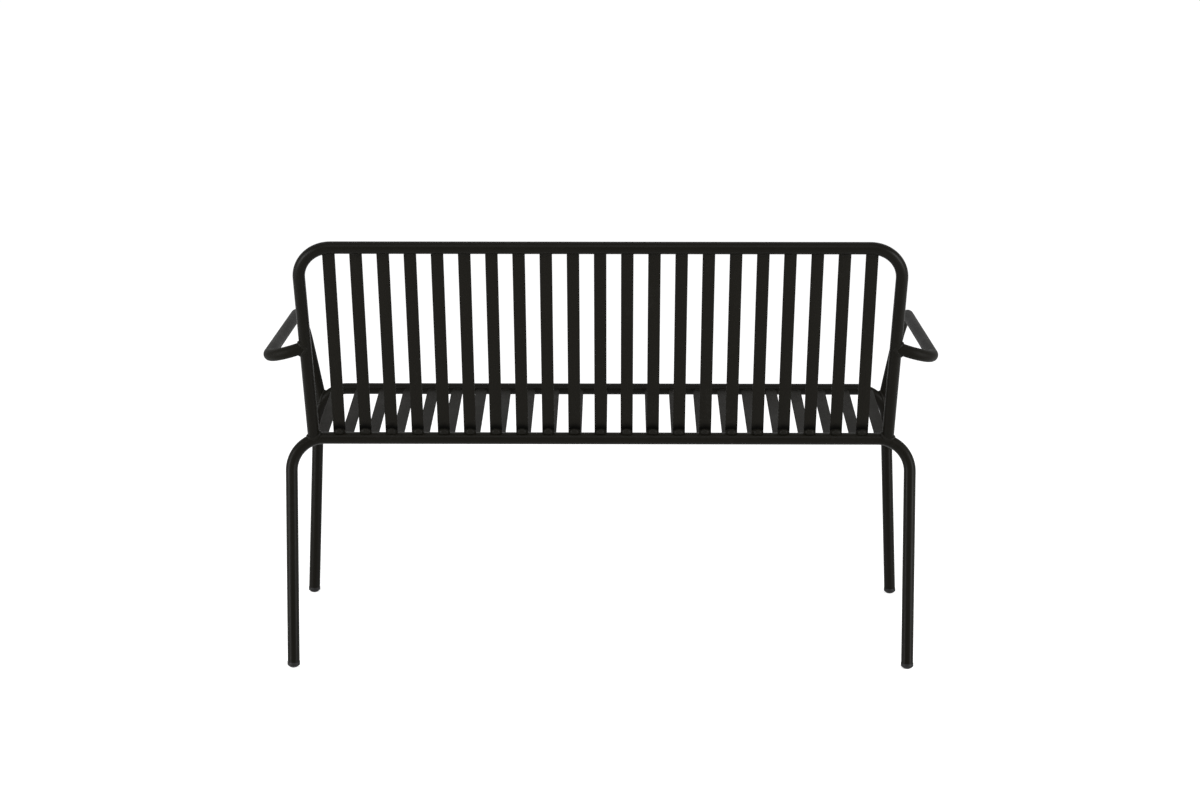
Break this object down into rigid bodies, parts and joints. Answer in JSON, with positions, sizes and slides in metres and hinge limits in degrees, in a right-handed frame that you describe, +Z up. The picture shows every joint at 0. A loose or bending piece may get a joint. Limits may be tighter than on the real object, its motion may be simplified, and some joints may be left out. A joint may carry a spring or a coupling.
{
  "type": "garden sofa",
  "caption": "Two-seat garden sofa of bent round metal tube with dished flat seat slats, a leaning slatted back, looped tube armrests and plastic glides.",
  "frame": {"origin": "on the ground, in the middle of the overall width and depth", "axes": "+Z up, -Y towards the sitting front, +X towards the sitter's left"},
  "size_m": [1.332, 0.6024, 0.856],
  "materials": {
    "frame_coat": "fine-textured matt black powder coat on steel tube",
    "slat_coat": "fine-textured matt black powder coat on flat steel bar",
    "weld_coat": "weld beads under the same black powder coat",
    "glide_plastic": "matt black moulded plastic"
  },
  "bodies": {
    "root": {"rear_leg_frame": "frame_coat", "front_leg_frame": "frame_coat", "back_frame": "frame_coat", "left_armrest": "frame_coat", "right_armrest": "frame_coat", "seat_slat_01": "slat_coat", "seat_slat_02": "slat_coat", "seat_slat_03": "slat_coat", "seat_slat_04": "slat_coat", "seat_slat_05": "slat_coat", "seat_slat_06": "slat_coat", "seat_slat_07": "slat_coat", "seat_slat_08": "slat_coat", "seat_slat_09": "slat_coat", "seat_slat_10": "slat_coat", "seat_slat_11": "slat_coat", "seat_slat_12": "slat_coat", "seat_slat_13": "slat_coat", "seat_slat_14": "slat_coat", "seat_slat_15": "slat_coat", "seat_slat_16": "slat_coat", "seat_slat_17": "slat_coat", "seat_slat_18": "slat_coat", "seat_slat_19": "slat_coat", "seat_slat_20": "slat_coat", "seat_slat_21": "slat_coat", "seat_slat_22": "slat_coat", "seat_slat_23": "slat_coat", "back_slat_01": "slat_coat", "back_slat_02": "slat_coat", "back_slat_03": "slat_coat", "back_slat_04": "slat_coat", "back_slat_05": "slat_coat", "back_slat_06": "slat_coat", "back_slat_07": "slat_coat", "back_slat_08": "slat_coat", "back_slat_09": "slat_coat", "back_slat_10": "slat_coat", "back_slat_11": "slat_coat", "back_slat_12": "slat_coat", "back_slat_13": "slat_coat", "back_slat_14": "slat_coat", "back_slat_15": "slat_coat", "back_slat_16": "slat_coat", "back_slat_17": "slat_coat", "back_slat_18": "slat_coat", "back_slat_19": "slat_coat", "back_slat_20": "slat_coat", "back_slat_21": "slat_coat", "rear_left_glide": "glide_plastic", "rear_right_glide": "glide_plastic", "front_left_glide": "glide_plastic", "front_right_glide": "glide_plastic", "seat_front_welds": "weld_coat", "seat_rear_welds": "weld_coat", "back_foot_welds": "weld_coat", "back_top_welds": "weld_coat", "upright_foot_welds": "weld_coat", "arm_top_welds": "weld_coat", "arm_foot_welds": "weld_coat"}
  },
  "joints": []
}
